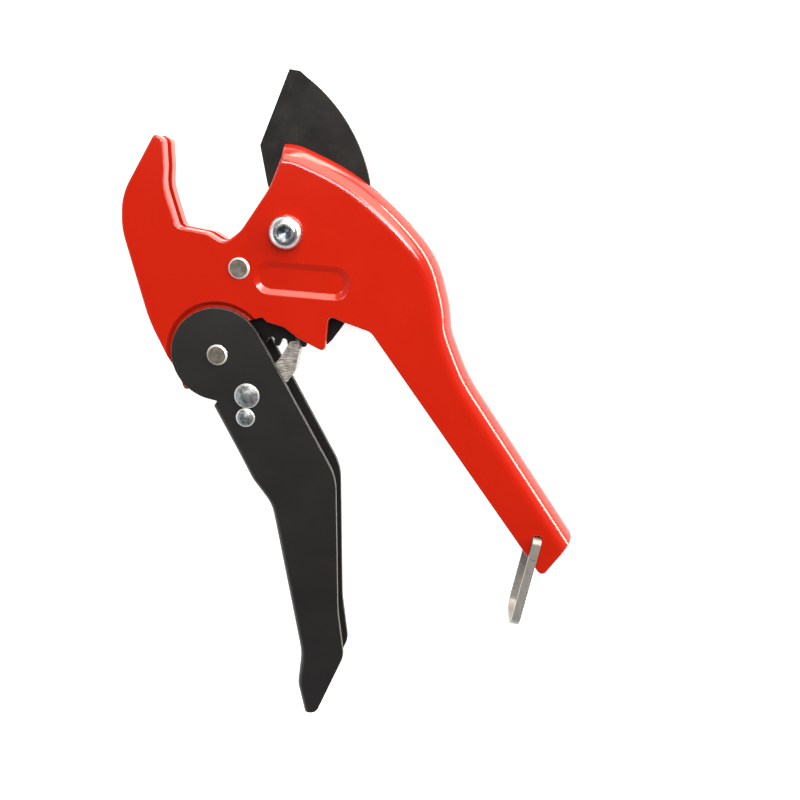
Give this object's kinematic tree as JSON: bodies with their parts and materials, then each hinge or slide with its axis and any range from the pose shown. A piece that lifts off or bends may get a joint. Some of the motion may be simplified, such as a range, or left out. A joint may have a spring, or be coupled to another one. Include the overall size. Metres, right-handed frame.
{
  "type": "ratchet pipe cutter",
  "caption": "Ratchet plastic pipe cutter: red hooked body and handle, black lever, dark swinging blade with a toothed ring driven by a pawl, and a wire-like strap that locks the handles.",
  "frame": {"origin": "end face of the blade pivot's nut, on the blade pivot's axis, which is the lowest point of the tool lying on its side", "axes": "+Z through the tool's thickness towards the screw's head, +Y from the handles towards the blade's tip, +X from the jaw towards the fixed handle"},
  "size_m": [0.1664, 0.2495, 0.0239],
  "materials": {
    "red_paint": "gloss enamel over a cast body",
    "black_paint": "satin black enamel",
    "blade_steel": "matte black oxide with a scuffed ground edge",
    "zinc": "bright zinc plating",
    "rivet_zinc": "tumbled zinc plated rivet heads",
    "pawl_zinc": "zinc plated stamping with rolling marks",
    "pin_steel": "turned steel",
    "strap_steel": "light brushed strip",
    "spring_steel": "oiled spring wire",
    "brass": "plain bush",
    "nylon": "natural nylon"
  },
  "bodies": {
    "frame": {"body": "red_paint", "blade_bush": "brass", "blade_shim_front": "nylon", "blade_shim_back": "nylon", "pivot_screw": "zinc", "pivot_nut": "zinc", "split_washer": "zinc", "flat_washer": "zinc", "stop_pin": "pin_steel", "lever_pivot_pin": "pin_steel", "lever_pivot_sleeve": "pin_steel", "return_spring": "spring_steel"},
    "blade": {"blade": "blade_steel"},
    "lever": {"lever": "black_paint", "pawl_rivet": "rivet_zinc", "pawl_spacer": "pin_steel", "pawl_spring": "spring_steel", "spring_anchor_rivet": "rivet_zinc"},
    "pawl": {"pawl": "pawl_zinc"},
    "lock_strap": {"lock_strap": "strap_steel"}
  },
  "joints": [
    {"name": "blade_pivot", "type": "hinge", "parent": "frame", "child": "blade", "pos_m": [0, 0, 0.01245], "axis": [0, 0, 1], "range_deg": [0, 75]},
    {"name": "lever_pivot", "type": "hinge", "parent": "frame", "child": "lever", "pos_m": [-0.0271, -0.0447, 0.01245], "axis": [0, 0, 1], "range_deg": [0, 36], "stiffness_Nm_per_rad": 0.3, "springref_deg": -17.19, "deforming": ["return_spring"]},
    {"name": "pawl_pivot", "type": "hinge", "parent": "lever", "child": "pawl", "pos_m": [-0.0166, -0.0602, 0.01245], "axis": [0, 0, 1], "range_deg": [-57, 0], "deforming": ["pawl_spring"]},
    {"name": "strap_pivot", "type": "hinge", "parent": "frame", "child": "lock_strap", "pos_m": [0.0931, -0.1152, 0.01245], "axis": [0, 0, 1], "range_deg": [-65, 150]}
  ],
  "couplings": [
    {"joint": "pawl_pivot", "follows": "lever_pivot", "ratio": -1.56}
  ]
}
